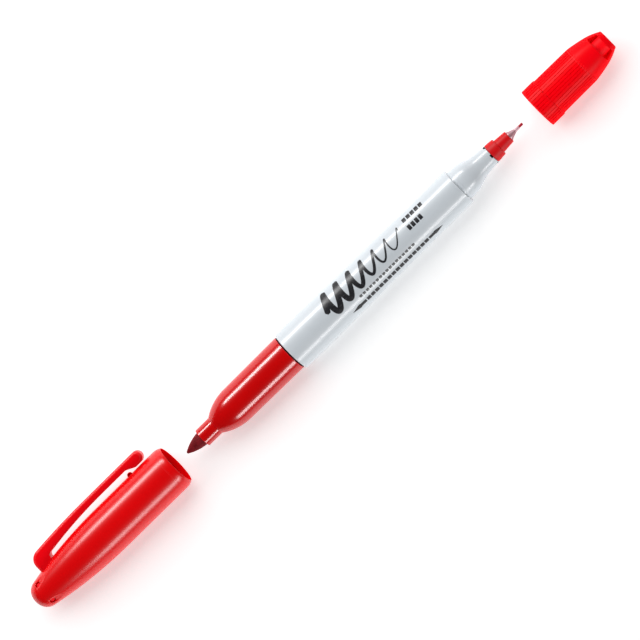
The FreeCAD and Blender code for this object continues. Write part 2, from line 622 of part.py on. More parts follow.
def make_ultra_fine_cap_shell():
    """Short cap with grip grooves, a narrowing crown, two windows and a flat end."""
    body = start_piece("ultra_fine_cap_shell", "ultra_cap_pull")
    turn_outline(body, "cap_wall", [
        ("0", "ultra_mouth_bore"),
        ("0", "band_radius - band_round"),
        ("band_round", "band_radius", "band_round", -1),
        ("band_length", "band_radius"),
        ("band_length + band_step", "body_radius"),
        ("body_end", "body_end_radius"),
        ("window_start", "window_start_radius", "shoulder_arc", -1),
        ("ultra_cap_length - end_round", "crown_end_radius", "crown_arc", -1),
        ("ultra_cap_length", "crown_end_radius - end_round", "end_round", -1),
        ("ultra_cap_length", "0"),
        ("window_end", "0"),
        ("window_end", "post_hole"),
        ("window_start - bulkhead", "post_hole"),
        ("window_start - bulkhead", "bulkhead_radius"),
        ("ultra_bore_end", "ultra_cap_bore"),
        ("ultra_mouth_lead", "ultra_cap_bore"),
    ])
    half_window = [
        ("window_start", "0"),
        ("window_start", "window_half_start"),
        ("window_end", "window_half_end"),
        ("window_end", "0"),
    ]
    window = spread_outline(body, "window", half_window, "2 * band_radius", "PartDesign::Pocket")
    repeat_round(body, window, WINDOWS)
    web = spread_outline(body, "window_web", [
        ("window_start - web_overlap", "post_hole"),
        ("window_start - web_overlap", "window_half_start + web_overlap"),
        ("window_end + web_overlap", "window_half_end + web_overlap"),
        ("window_end + web_overlap", "post_hole"),
    ], "window_web", "PartDesign::Pad")
    repeat_round(body, web, WINDOWS)
    groove = spread_outline(body, "grip_groove", [
        ("groove_start", "band_radius - groove_depth"),
        ("groove_start", "2 * band_radius - body_radius"),
        ("groove_end", "2 * band_radius - body_radius"),
        ("groove_end", "body_end_radius"),
        ("body_end", "body_end_radius - groove_depth"),
        ("band_length + band_step", "body_radius - groove_depth"),
        ("band_length", "band_radius - groove_depth"),
    ], "groove_width", "PartDesign::Pocket")
    repeat_round(body, groove, GRIP_GROOVES)


def make_ultra_fine_cap_seal():
    """Tube that seals on the holder's collar, narrowing to a closed post behind the windows."""
    body = start_piece("ultra_fine_cap_seal", "ultra_cap_pull")
    turn_outline(body, "seal_wall", [
        ("ultra_seal_lip", "ultra_seal_bore"),
        ("ultra_seal_lip", "ultra_seal_radius"),
        ("ultra_web_start", "ultra_seal_radius"),
        ("ultra_web_start", "ultra_web_radius"),
        ("ultra_web_start + ultra_web_length", "ultra_web_radius"),
        ("ultra_web_start + ultra_web_length", "ultra_seal_radius"),
        ("post_taper_start", "ultra_seal_radius"),
        ("post_start", "post_radius"),
        ("window_end", "post_radius"),
        ("window_end", "0"),
        ("window_end - ultra_seal_floor", "0"),
        ("window_end - ultra_seal_floor", "ultra_end_bore"),
        ("ultra_seal_step", "ultra_inner_bore"),
        ("ultra_seal_step", "ultra_step_bore"),
    ])


make_barrel()
make_fine_section()
make_bullet_nib()
make_reservoir()
make_feed_wick()
make_ultra_fine_holder()
make_point()
make_fine_cap_shell()
make_fine_cap_seal()
make_pocket_clip()
make_ultra_fine_cap_shell()
make_ultra_fine_cap_seal()
document.recompute()

failed = [thing.Label for thing in document.Objects if {"Invalid", "Error"} & set(thing.State)]
for piece in pieces:
    if piece.Shape.isNull() or not piece.Shape.isValid() or len(piece.Shape.Solids) != 1:
        failed.append(piece.Label)
if failed:
    raise RuntimeError("these did not come out whole: " + ", ".join(failed))

os.makedirs("parts", exist_ok=True)
for piece in pieces:
    piece.Shape.exportStep(f"parts/{piece.Label}.step")
    box = piece.Shape.BoundBox
    print(f"{piece.Label:22s} x {box.XMin:8.2f} {box.XMax:8.2f}  volume {piece.Shape.Volume:8.1f}")
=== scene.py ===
import math

import bmesh
import bpy
import numpy as np
from mathutils import Matrix, Vector


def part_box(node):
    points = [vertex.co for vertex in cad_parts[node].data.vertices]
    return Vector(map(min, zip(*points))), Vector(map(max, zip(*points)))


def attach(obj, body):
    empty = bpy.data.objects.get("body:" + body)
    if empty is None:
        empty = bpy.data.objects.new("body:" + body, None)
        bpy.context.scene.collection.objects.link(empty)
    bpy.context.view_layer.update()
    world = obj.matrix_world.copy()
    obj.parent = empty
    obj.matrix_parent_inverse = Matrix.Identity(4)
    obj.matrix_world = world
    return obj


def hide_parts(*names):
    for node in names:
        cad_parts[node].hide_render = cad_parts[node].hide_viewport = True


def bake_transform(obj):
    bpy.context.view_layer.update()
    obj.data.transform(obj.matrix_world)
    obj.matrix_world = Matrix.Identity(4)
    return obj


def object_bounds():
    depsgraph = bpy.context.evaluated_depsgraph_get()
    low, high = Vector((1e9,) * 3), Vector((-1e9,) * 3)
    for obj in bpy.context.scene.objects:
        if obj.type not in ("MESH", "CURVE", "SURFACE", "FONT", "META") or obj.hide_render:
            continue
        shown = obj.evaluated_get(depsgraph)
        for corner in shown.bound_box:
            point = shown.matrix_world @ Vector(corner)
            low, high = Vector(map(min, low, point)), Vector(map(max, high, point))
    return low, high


# A twin-tip marker with both caps pulled off, lying on a pale floor. Outlines are in millimetres:
# x runs along the marker's axis from the piece's own first face, r is the distance from the axis.
# Round the axis, angle 0 is the clip's side (+Y) and a quarter turn is up (+Z).

MM = 0.001
FULL_TURN = 2 * math.pi
SHARP_ANGLE = math.radians(38)

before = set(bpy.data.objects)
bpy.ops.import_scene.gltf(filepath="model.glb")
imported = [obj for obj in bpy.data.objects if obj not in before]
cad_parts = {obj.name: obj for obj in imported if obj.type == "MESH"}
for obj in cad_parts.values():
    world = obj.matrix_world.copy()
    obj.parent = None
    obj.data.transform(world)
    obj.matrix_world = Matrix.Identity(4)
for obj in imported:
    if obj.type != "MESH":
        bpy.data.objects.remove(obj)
cad_low, cad_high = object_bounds()


def start_of(node):
    """Where a CAD node starts along the axis, in millimetres."""
    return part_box(node)[0].x / MM


def tangent_arc(run, fall):
    """The radius of an arc that leaves a line parallel to the axis and falls so far over that run."""
    return (run * run + fall * fall) / (2 * fall)


def smooth(low, high, value):
    """0 below low, 1 above high and an S-curve between them."""
    t = np.clip((value - low) / (high - low), 0, 1)
    return t * t * (3 - 2 * t)


# --- outlines ---------------------------------------------------------------------------------


# The largest turns between two points of an arc and of a rounded corner, in radians.
ARC_TURN = 0.12
CORNER_TURN = 0.22
# The least distance between a support point and its neighbours, and one that no span reaches.
SLIVER = 0.02
WHOLE_SPAN = 1000.0


def at(x, r, arc=0.0, soft=0.0, step=None):
    """One stop of an outline: its place, the signed radius of the arc to it, its rounding, and
    how far apart the points on the way to it are."""
    return x, r, arc, soft, step


def arc_points(a, b, radius, pitch):
    """Points from a to b along a line, or along an arc that turns left if the radius is positive."""
    chord = b - a
    length = float(np.hypot(*chord))
    if radius == 0:
        count = max(1, math.ceil(length / pitch))
        return a + np.outer(np.linspace(0, 1, count + 1), chord)
    half = length / 2
    left = np.array([-chord[1], chord[0]]) / length
    away = math.sqrt(max(radius * radius - half * half, 0))
    centre = (a + b) / 2 + left * math.copysign(away, radius)
    sweep = math.copysign(2 * math.asin(min(1, half / abs(radius))), radius)
    count = max(2, math.ceil(abs(sweep * radius) / pitch), math.ceil(abs(sweep) / ARC_TURN))
    turns = np.linspace(0, sweep, count + 1)
    arm = a - centre
    across = arm[0] * np.cos(turns) - arm[1] * np.sin(turns)
    up = arm[0] * np.sin(turns) + arm[1] * np.cos(turns)
    return centre + np.stack([across, up], axis=1)


def trimmed(points, head, tail):
    """The polyline without its first and last lengths, with a support point beside each cut and no
    other point so near to one of these that their faces would be slivers."""
    steps = np.linalg.norm(np.diff(points, axis=0), axis=1)
    along = np.concatenate([[0], np.cumsum(steps)])
    low, high = head, along[-1] - tail
    marks = [low, high]
    furthest = 0.3 * (high - low)
    if head:
        marks.append(low + min(0.6 * head, furthest))
    if tail:
        marks.append(high - min(0.6 * tail, furthest))
    kept = [v for v in along if low < v < high and min(abs(v - m) for m in marks) > SLIVER]
    places = sorted(marks + kept)
    return np.stack([np.interp(places, along, points[:, k]) for k in (0, 1)], axis=1)


def corner_points(a, into, b, out, turn):
    """The points between a and b of the rounding that is tangent to both directions."""
    reach = np.linalg.solve(np.stack([into, out], axis=1), b - a)
    control = a + into * reach[0]
    count = max(3, math.ceil(abs(turn) / CORNER_TURN))
    t = np.linspace(0, 1, count + 1)[1:-1, None]
    weight = math.cos(turn / 2)
    blend = (1 - t) ** 2 + 2 * weight * t * (1 - t) + t * t
    return ((1 - t) ** 2 * a + 2 * weight * t * (1 - t) * control + t * t * b) / blend


def outline_points(path, pitch):
    """The closed outline as points, each with its edge mark and the number of its stop. The edge mark
    is 1 on a rounded outer corner, -1 on a rounded inner one and 0 elsewhere."""
    count = len(path)
    stops = [np.array(stop[:2], float) for stop in path]
    spans = []
    for i in range(count):
        on_axis = stops[i - 1][1] == 0 and stops[i][1] == 0
        spacing = WHOLE_SPAN if on_axis else path[i][4] or pitch
        spans.append(arc_points(stops[i - 1], stops[i], path[i][2], spacing))
    lengths = [np.linalg.norm(np.diff(s, axis=0), axis=1).sum() for s in spans]
    flat = np.array(stops)
    shifted = np.roll(flat, -1, axis=0)
    area = float(np.sum(flat[:, 0] * shifted[:, 1] - shifted[:, 0] * flat[:, 1]))
    turns, cuts = [0.0] * count, [0.0] * count
    for i, stop in enumerate(path):
        following = spans[(i + 1) % count]
        into = spans[i][-1] - spans[i][-2]
        out = following[1] - following[0]
        cross = into[0] * out[1] - into[1] * out[0]
        turns[i] = math.atan2(cross, float(into @ out))
        if stop[3]:
            room = 0.45 * min(lengths[i], lengths[(i + 1) % count])
            cuts[i] = min(stop[3] * math.tan(abs(turns[i]) / 2), room)
    bodies = [trimmed(spans[i], cuts[i - 1], cuts[i]) for i in range(count)]
    points, edges, marks = [], [], []
    for i in range(count):
        body = bodies[i] if cuts[i] else bodies[i][:-1]
        points.extend(body)
        edges.extend([0.0] * len(body))
        marks.extend([i] * len(body))
        if not cuts[i]:
            continue
        following = bodies[(i + 1) % count]
        into = body[-1] - body[-2]
        out = following[1] - following[0]
        into, out = into / np.linalg.norm(into), out / np.linalg.norm(out)
        corner = corner_points(body[-1], into, following[0], out, turns[i])
        points.extend(corner)
        edges.extend([math.copysign(1.0, turns[i] * area)] * len(corner))
        marks.extend([i] * len(corner))
    return np.array(points), np.array(edges), np.array(marks)


# --- meshes -----------------------------------------------------------------------------------


def new_piece(name, vertices, faces, **values):
    """A mesh object from vertices in millimetres. Each of the values is an attribute of its points
    that a material reads."""
    mesh = bpy.data.meshes.new(name)
    mesh.from_pydata((np.asarray(vertices) * MM).tolist(), [], faces)
    for attribute, data in values.items():
        stored = mesh.attributes.new(attribute, "FLOAT", "POINT")
        stored.data.foreach_set("value", np.asarray(data, float))
    shaped = bmesh.new()
    shaped.from_mesh(mesh)
    bmesh.ops.recalc_face_normals(shaped, faces=shaped.faces)
    shaped.to_mesh(mesh)
    shaped.free()
    piece = bpy.data.objects.new(name, mesh)
    bpy.context.scene.collection.objects.link(piece)
    shade(piece)
    return piece


def shade(piece):
    """Smooth shading with the sharp edges kept."""
    piece.data.shade_smooth()
    piece.data.set_sharp_from_angle(angle=SHARP_ANGLE)


def evenly(count):
    """So many angles spread evenly round the axis."""
    return np.arange(count) * FULL_TURN / count


def lathe(name, path, place, pitch=0.7, angles=evenly(256), reshape=None, inner=math.inf):
    """A closed outline turned about the marker's axis. reshape may move its points, and from the stop
    numbered inner on they're marked as the inside."""
    points, edges, marks = outline_points(path, pitch)
    count = len(angles)
    vertices, values, inside, rings = [], [], [], []
    for (x, r), edge, mark in zip(points, edges, marks):
        first = len(vertices)
        around = 1 if r < 1e-6 else count
        values.extend([edge] * around)
        inside.extend([float(mark >= inner)] * around)
        if r < 1e-6:
            vertices.append((x + place, 0.0, 0.0))
            rings.append([first])
            continue
        xs, rs = np.full(count, x), np.full(count, r)
        if reshape:
            xs, rs = reshape(xs, rs, angles, mark)
        vertices.extend(np.stack([xs + place, rs * np.cos(angles), rs * np.sin(angles)], axis=1))
        rings.append(range(first, first + count))
    faces = []
    for a, b in zip(rings, rings[1:] + rings[:1]):
        if len(a) == 1 and len(b) == 1:
            continue
        a_next, b_next = [*a[1:], a[0]], [*b[1:], b[0]]
        if len(a) == 1:
            faces.extend(zip([a[0]] * count, b, b_next))
        elif len(b) == 1:
            faces.extend(zip(a, [b[0]] * count, a_next))
        else:
            faces.extend(zip(a, b, b_next, a_next))
    return new_piece(name, vertices, faces, edge=values, inside=inside)


def prism(corners, depth, soft):
    """A closed outline in x and y, its corners rounded, made as thick as the depth about z = 0."""
    points = outline_points([at(x, y, 0, soft) for x, y in corners], 1.0)[0]
    count = len(points)
    sides = [[(x, y, z) for x, y in points] for z in (-depth / 2, depth / 2)]
    faces = [tuple(range(count)), tuple(range(count, 2 * count))]
    faces += [(i, (i + 1) % count, count + (i + 1) % count, count + i) for i in range(count)]
    return new_piece("cutter", sides[0] + sides[1], faces)


def ball(centre, radius):
    """A dense ball, its centre and radius in millimetres."""
    mesh = bpy.data.meshes.new("ball")
    shaped = bmesh.new()
    bmesh.ops.create_uvsphere(shaped, u_segments=48, v_segments=32, radius=1.0)
    shaped.to_mesh(mesh)
    shaped.free()
    mesh.transform(Matrix.Scale(radius * MM, 4))
    mesh.transform(Matrix.Translation(Vector(centre) * MM))
    piece = bpy.data.objects.new("ball", mesh)
    bpy.context.scene.collection.objects.link(piece)
    return piece


def combine(piece, tools, operation):
    """The piece with the tools cut out or added, by an exact boolean that is then applied."""
    tool = joined(tools[0], *tools[1:])
    change = piece.modifiers.new("combine", "BOOLEAN")
    change.operation = operation
    change.solver = "EXACT"
    change.material_mode = "TRANSFER"
    change.object = tool
    graph = bpy.context.evaluated_depsgraph_get()
    made = bpy.data.meshes.new_from_object(piece.evaluated_get(graph))
    piece.modifiers.clear()
    old, piece.data = piece.data, made
    bpy.data.meshes.remove(old)
    bpy.data.objects.remove(tool)
    shade(piece)


def turned(piece, angle):
    """The piece turned about the marker's axis."""
    piece.data.transform(Matrix.Rotation(angle, 4, "X"))
    return piece


def moved(piece, x):
    """The piece moved along the marker's axis, in millimetres."""
    piece.data.transform(Matrix.Translation((x * MM, 0, 0)))
    return piece


def joined(piece, *others):
    """The piece with the others' meshes added to its own."""
    shaped = bmesh.new()
    shaped.from_mesh(piece.data)
    for other in others:
        shaped.from_mesh(other.data)
        bpy.data.objects.remove(other)
    shaped.to_mesh(piece.data)
    shaped.free()
    shade(piece)
    return piece


def place_piece(piece, body, material, nodes=()):
    """Gives the piece its finish, its body and the CAD nodes that it stands for. A piece with more
    than one finish already has them, and comes with no material."""
    if material:
        piece.data.materials.clear()
        piece.data.materials.append(material)
    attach(piece, body)
    if nodes:
        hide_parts(*nodes)


# --- materials --------------------------------------------------------------------------------


class Finish:
    """A Principled material under construction, with small helpers for its procedural nodes."""

    def __init__(self, name, **sockets):
        self.material = bpy.data.materials.new(name)
        self.material.use_nodes = True
        self.tree = self.material.node_tree
        self.shader = self.tree.nodes["Principled BSDF"]
        for socket, value in sockets.items():
            self.shader.inputs[socket.replace("_", " ")].default_value = value
        self.place = self.tree.nodes.new("ShaderNodeTexCoord").outputs["Object"]

    def link(self, output, target):
        self.tree.links.new(output, target)

    def noise(self, scale, detail=3.0, stretch=(1, 1, 1), rough=0.5):
        """Noise of about so many features per metre, times the stretch along each axis."""
        mapping = self.tree.nodes.new("ShaderNodeMapping")
        mapping.inputs["Scale"].default_value = stretch
        self.link(self.place, mapping.inputs["Vector"])
        texture = self.tree.nodes.new("ShaderNodeTexNoise")
        texture.inputs["Scale"].default_value = scale
        texture.inputs["Detail"].default_value = detail
        texture.inputs["Roughness"].default_value = rough
        self.link(mapping.outputs["Vector"], texture.inputs["Vector"])
        return texture.outputs["Fac"]

    def spread(self, value, low, high, from_low=0.3, from_high=0.7):
        """The value's range mapped to another."""
        node = self.tree.nodes.new("ShaderNodeMapRange")
        node.inputs["From Min"].default_value = from_low
        node.inputs["From Max"].default_value = from_high
        node.inputs["To Min"].default_value = low
        node.inputs["To Max"].default_value = high
        self.link(value, node.inputs["Value"])
        return node.outputs["Result"]

    def math(self, operation, a, b):
        """A math node on two outputs."""
        node = self.tree.nodes.new("ShaderNodeMath")
        node.operation = operation
        self.link(a, node.inputs[0])
        self.link(b, node.inputs[1])
        return node.outputs["Value"]

    def mix(self, factor, a, b):
        """A colour between a and b, each an output or a colour."""
        node = self.tree.nodes.new("ShaderNodeMix")
        node.data_type = "RGBA"
        self.link(factor, node.inputs[0])
        for socket, value in zip((node.inputs[6], node.inputs[7]), (a, b)):
            if isinstance(value, tuple):
                socket.default_value = (*value, 1)
            else:
                self.link(value, socket)
        return node.outputs[2]

    def attribute(self, name, low=0.0, high=1.0):
        """A value that the mesh's points carry, 0 to 1, mapped from low to high: edge is 1 on rounded
        outer corners, and inside is 1 on the inner faces of a hollow piece."""
        node = self.tree.nodes.new("ShaderNodeAttribute")
        node.attribute_name = name
        return self.spread(node.outputs["Fac"], low, high, 0.0, 1.0)

    def colour(self, output):
        self.link(output, self.shader.inputs["Base Color"])

    def rough(self, output):
        self.link(output, self.shader.inputs["Roughness"])

    def bump(self, height, distance):
        """The height as relief, so many metres deep, on top of any relief before it."""
        node = self.tree.nodes.new("ShaderNodeBump")
        node.inputs["Distance"].default_value = distance
        self.link(height, node.inputs["Height"])
        before = self.shader.inputs["Normal"]
        if before.is_linked:
            self.link(before.links[0].from_socket, node.inputs["Normal"])
        self.link(node.outputs["Normal"], before)


INSIDE_ROUGHNESS = 0.6


def moulded_plastic(name, colour, edge_highlight, roughness, grain, wear, **sockets):
    """Injection-moulded plastic: faint flow marks, a fine skin, handling scuffs, a painted highlight that
    pales the rounded outer edges, and a dull inside. The grain is how deep the skin is in metres, and wear
    is added to the roughness."""
    made = Finish(name, Roughness=roughness, IOR=1.5, **sockets)
    flow = made.noise(130, 3, (0.35, 1, 1))
    darker = tuple(c * 0.95 for c in colour)
    body = made.mix(made.spread(flow, 0, 1), darker, colour)
    # Painted highlight: rounded outer edges are mixed up to 35 percent towards the pale colour.
    made.colour(made.mix(made.attribute("edge", 0, 0.35), body, edge_highlight))
    scuffs = made.spread(made.noise(900, 4, (0.12, 1, 1), 0.6), -0.4 * wear, wear)
    skin = made.spread(made.noise(260, 3), -0.4 * wear, 0.6 * wear)
    base = made.attribute("inside", roughness, INSIDE_ROUGHNESS)
    made.rough(made.math("ADD", made.math("ADD", scuffs, skin), base))
    for socket in ("Specular IOR Level", "Coat Weight"):
        shine = made.shader.inputs[socket]
        made.link(made.attribute("inside", shine.default_value, 0.0), shine)
    made.bump(made.noise(2600, 2), grain)
    return made.material


def translucent(weight, depth, beside_red=0.2, painted_glow=0.0):
    """The sockets of a plastic that lets red light so many millimetres in and the other colours a share of
    that. Its emission is a painted glow: thin red walls shine faintly of their own, standing in for lamp
    light that passes into them."""
    return {
        "Subsurface_Weight": weight,
        "Subsurface_Radius": (1, beside_red, beside_red),
        "Subsurface_Scale": depth * MM,
        # Painted glow: a faint red emission of the plastic's own.
        "Emission_Color": (1, 0, 0.004, 1),
        "Emission_Strength": painted_glow,
    }


def pressed_fibre(name, dark, light, roughness, along=0.16):
    """Pressed fibre: strands along the axis, pores between them and uneven ink."""
    made = Finish(name, Roughness=roughness, Specular_IOR_Level=0.15)
    strands = made.noise(5200, 3, (along, 1, 1), 0.65)
    pores = made.noise(3000, 4, (0.7, 1, 1), 0.7)
    stain = made.noise(420, 3)
    fleck = made.math("MULTIPLY", made.spread(strands, 0, 1), made.spread(pores, 0, 1, 0.35, 0.72))
    middle = tuple((a + b) / 2 for a, b in zip(dark, light))
    body = made.mix(made.spread(stain, 0, 1), dark, middle)
    made.colour(made.mix(fleck, body, light))
    made.rough(made.spread(pores, roughness - 0.12, roughness + 0.1))
    made.bump(strands, 25e-6)
    made.bump(pores, 35e-6)
    return made.material


def stained_metal(name):
    """Turned metal with fine rings round it and dried ink on it."""
    made = Finish(name, Metallic=0.45, Roughness=0.42)
    rings = made.noise(6500, 2, (1, 0.02, 0.02))
    ink = made.noise(1500, 4, (1, 1, 1), 0.65)
    body = made.mix(made.spread(rings, 0, 1), (0.50, 0.32, 0.36), (0.62, 0.44, 0.48))
    made.colour(made.mix(made.spread(ink, 0, 0.85, 0.44, 0.72), body, (0.42, 0.07, 0.10)))
    made.rough(made.spread(ink, 0.36, 0.55))
    made.bump(rings, 5e-6)
    return made.material


def printed_ink(name):
    """Pad-printed ink: dense, a little worn, with a slightly uneven surface."""
    made = Finish(name, Roughness=0.36)
    worn = made.spread(made.noise(2300, 4, (1, 1, 1), 0.7), 0, 1, 0.52, 0.9)
    made.colour(made.mix(worn, (0.012, 0.012, 0.015), (0.10, 0.10, 0.11)))
    made.rough(made.spread(made.noise(700, 3), 0.30, 0.42))
    made.bump(made.noise(3800, 3), 4e-6)
    return made.material


def clear_film(name):
    """Thin plastic film round the ink store, with faint wrinkles along it."""
    made = Finish(name, Roughness=0.25)
    wrinkle = made.noise(500, 3, (0.15, 1, 1))
    made.colour(made.mix(made.spread(wrinkle, 0, 1), (0.70, 0.72, 0.74), (0.82, 0.84, 0.86)))
    made.rough(made.spread(wrinkle, 0.18, 0.34))
    made.bump(wrinkle, 30e-6)
    return made.material


# The pale colours given beside each red and the grey are painted highlights for rounded outer edges.
RED = (0.80, 0.0008, 0.002)
BRIGHT_RED = (0.93, 0.001, 0.006)
RED_EDGE_HIGHLIGHT = (0.97, 0.05, 0.06)
DEEP_RED = (0.62, 0.0004, 0.0008)
GREY = (0.62, 0.665, 0.705)
GREY_EDGE_HIGHLIGHT = (0.80, 0.84, 0.86)

# The cap, clip, ultra-fine cap and seal plastics carry a painted glow, a faint red emission that stands in
# for light passing into their thin walls.
cap_plastic = moulded_plastic("cap_red_plastic", RED, RED_EDGE_HIGHLIGHT, 0.5, 0.4e-6, 0.03, Specular_IOR_Level=0.0,
                              Coat_Weight=1.0, Coat_Roughness=0.27, **translucent(0.15, 1.0, painted_glow=0.02))
# Painted light: the clip gets a brighter red and a stronger painted glow than the cap, so that it reads
# lighter than the cap.
clip_painted_lighter_plastic = moulded_plastic("clip_red_plastic", BRIGHT_RED, RED_EDGE_HIGHLIGHT, 0.5, 0.4e-6, 0.03,
                               Specular_IOR_Level=0.0, Coat_Weight=0.7, Coat_Roughness=0.28,
                               **translucent(0.2, 1.4, painted_glow=0.08))
bright_plastic = moulded_plastic("bright_red_plastic", BRIGHT_RED, RED_EDGE_HIGHLIGHT, 0.55, 0.4e-6, 0.03,
                                 Specular_IOR_Level=0.0, Coat_Weight=0.15, Coat_Roughness=0.36,
                                 **translucent(0.1, 0.8, painted_glow=0.13))
section_plastic = moulded_plastic("section_red_plastic", DEEP_RED, RED_EDGE_HIGHLIGHT, 0.5, 0.2e-6, 0.03,
                                  Specular_IOR_Level=0.0, Coat_Weight=1.0, Coat_Roughness=0.2, Coat_IOR=1.62,
                                  **translucent(0.05, 0.6))
barrel_plastic = moulded_plastic("barrel_grey_plastic", GREY, GREY_EDGE_HIGHLIGHT, 0.45, 0.2e-6, 0.02,
                                 Specular_IOR_Level=0.8, Coat_Weight=0.5, Coat_Roughness=0.18,
                                 **translucent(0.04, 0.6, 1))
holder_plastic = moulded_plastic("holder_red_plastic", (0.68, 0.004, 0.007), RED_EDGE_HIGHLIGHT, 0.46, 2e-6, 0.03,
                                 Specular_IOR_Level=0.2, **translucent(0.1, 0.6))
seal_plastic = moulded_plastic("seal_red_plastic", (0.90, 0.002, 0.010), RED_EDGE_HIGHLIGHT, 0.5, 1e-6, 0.02,
                               Specular_IOR_Level=0.1, **translucent(0.3, 1.4, painted_glow=0.10))
nib_fibre = pressed_fibre("nib_inked_fibre", (0.115, 0.002, 0.004), (0.27, 0.012, 0.019), 0.7)
point_fibre = pressed_fibre("point_inked_fibre", (0.30, 0.003, 0.012), (0.46, 0.012, 0.04), 0.6, 0.5)
store_fibre = pressed_fibre("store_white_fibre", (0.50, 0.48, 0.46), (0.82, 0.80, 0.78), 0.8)
sleeve_metal = stained_metal("sleeve_stained_metal")
wrap_film = clear_film("wrap_film")
black_ink = printed_ink("printed_black_ink")
# Painted shade: a near-black fibre-textured finish that stands in for the shadow in the gap between the
# section and the barrel's mouth.
painted_groove_shade = pressed_fibre("groove_painted_shade", (0.035, 0.0003, 0.0015), (0.07, 0.0006, 0.004), 0.6)
# A near-black finish for the faces that the neck slots cut.
slot_dark_finish = pressed_fibre("slot_near_black", (0.012, 0.001, 0.002), (0.03, 0.002, 0.004), 0.5)

# --- barrel and its mark ----------------------------------------------------------------------

SHOULDER = 60.3
STRAIGHT_START = SHOULDER - 12
RIM = SHOULDER + 11.5
BARREL_WIDEST = 5.94
BARREL_RADIUS = 5.42
NECK_RADIUS = 4.51
HOLDER_SEAT = 1.9
BARREL_BORE = 4.4
PLUG_RADIUS = 4.75
PLUG_SEAT = 8.1
NECK_SLOTS = 5
NECK_SLOT_ANGLE = math.radians(99)
NECK_SLOT_DEPTH = 0.4
bead = tangent_arc(0.375, 0.06)
barrel_path = [
    at(0, PLUG_RADIUS, soft=0.1),
    at(0, BARREL_WIDEST, soft=0.25),
    at(STRAIGHT_START, BARREL_RADIUS),
    at(SHOULDER, BARREL_RADIUS, soft=0.12),
    at(SHOULDER, NECK_RADIUS, soft=0.1),
    at(SHOULDER + 0.45, NECK_RADIUS, soft=0.3),
    at(SHOULDER + 1.2, NECK_RADIUS, -bead, soft=0.3),
    at(SHOULDER + 1.3, NECK_RADIUS),
    at(SHOULDER + 5.0, 3.80, -tangent_arc(3.7, 0.71), soft=1.0),
    at(SHOULDER + 8.9, 2.95, 12.2),
    at(RIM, 2.73, soft=0.12),
    at(RIM, HOLDER_SEAT, soft=0.08),
    at(RIM - 4.3, HOLDER_SEAT),
    at(SHOULDER + 1.3, 3.55),
    at(SHOULDER, 3.55),
    at(SHOULDER - 3.5, BARREL_BORE),
    at(PLUG_SEAT, BARREL_BORE),
    at(PLUG_SEAT, PLUG_RADIUS),
]
barrel_start = start_of("barrel")
barrel = lathe("barrel_tube", barrel_path, barrel_start, 1.5)
barrel.data.materials.append(barrel_plastic)
slot_low, slot_high = RIM - NECK_SLOT_DEPTH, RIM + 0.6
slot_corners = [(slot_low, 2.0), (slot_low, 4.0), (slot_high, 4.0), (slot_high, 2.0)]
slots = []
for angle in NECK_SLOT_ANGLE + evenly(NECK_SLOTS):
    slot = turned(moved(prism(slot_corners, 1.0, 0.12), barrel_start), angle)
    # The slot's cut faces take the near-black finish.
    slot.data.materials.append(slot_dark_finish)
    slots.append(slot)
combine(barrel, slots, "DIFFERENCE")
place_piece(barrel, "marker", None, ["barrel"])


def barrel_radius(x):
    """The barrel's outside at a place along it, in the row frame."""
    ends = [0.25, STRAIGHT_START, SHOULDER]
    return np.interp(x - barrel_start, ends, [BARREL_WIDEST, BARREL_RADIUS, BARREL_RADIUS])


INK_ABOVE = 0.02
INK_BELOW = 0.03
INK_COLUMNS = 10
ROUND_END = 0.0004
WAVES = 6.5
BLOCK_SOFT = 0.14


def ink_stroke(places, half_widths):
    """A closed strip of ink on the barrel. Places are (x, height round the barrel from the top)."""
    places, half = np.asarray(places, float), np.asarray(half_widths, float)
    ahead = np.gradient(places, axis=0)
    ahead /= np.linalg.norm(ahead, axis=1)[:, None]
    side = np.stack([-ahead[:, 1], ahead[:, 0]], axis=1)
    vertices, faces = [], []
    for lift in (INK_ABOVE, -INK_BELOW):
        for point, direction, width in zip(places, side, half):
            for step in np.linspace(-1, 1, INK_COLUMNS + 1):
                x, up = point + direction * width * step
                out = barrel_radius(x)
                angle = math.pi / 2 - up / out
                out += lift
                vertices.append((x, out * math.cos(angle), out * math.sin(angle)))
    rows, columns = len(places), INK_COLUMNS + 1
    below = rows * columns
    for i in range(rows - 1):
        for j in range(INK_COLUMNS):
            a = i * columns + j
            faces.append((a, a + 1, a + columns + 1, a + columns))
            faces.append((below + a, below + a + columns, below + a + columns + 1, below + a + 1))
    for i in range(rows - 1):
        for j in (0, INK_COLUMNS):
            a = i * columns + j
            faces.append((a, a + columns, below + a + columns, below + a))
    for i in (0, rows - 1):
        for j in range(INK_COLUMNS):
            a = i * columns + j
            faces.append((a, a + 1, below + a + 1, below + a))
    return new_piece("stroke", vertices, faces)


def travelled(places):
    """The distance along a row of points at each of them."""
    return np.concatenate([[0], np.cumsum(np.linalg.norm(np.diff(places, axis=0), axis=1))])


def rounded(near):
    """The share of its full half width that a round end has, near 0 at its tip and 1 past its rounding."""
    return np.sqrt(np.clip(1 - (1 - np.clip(near, 0, 1)) ** 2, ROUND_END, 1))


def wave_stroke():
    """A test wave that starts broad, as the bullet nib draws, and ends thin, as the fine point does."""
    t = np.linspace(0, 1, 420)
    phase = t * FULL_TURN * WAVES
    reach = 3.5 * (1 - 0.45 * t)
    places = np.stack([-46.2 + 27.5 * t + 0.9 * np.sin(phase), 1.9 + reach * np.sin(phase - 0.6)], axis=1)
    length = travelled(places)
    body = 0.78 - 0.60 * smooth(0.1, 0.95, t)
    ends = np.minimum(length / 0.75, (length[-1] - length) / 0.2)
    return ink_stroke(places, body * rounded(ends))


def level_stroke(x, height, half_widths):
    """A stroke along the barrel at one height."""
    return ink_stroke(np.stack([x, np.full(len(x), height)], axis=1), half_widths)


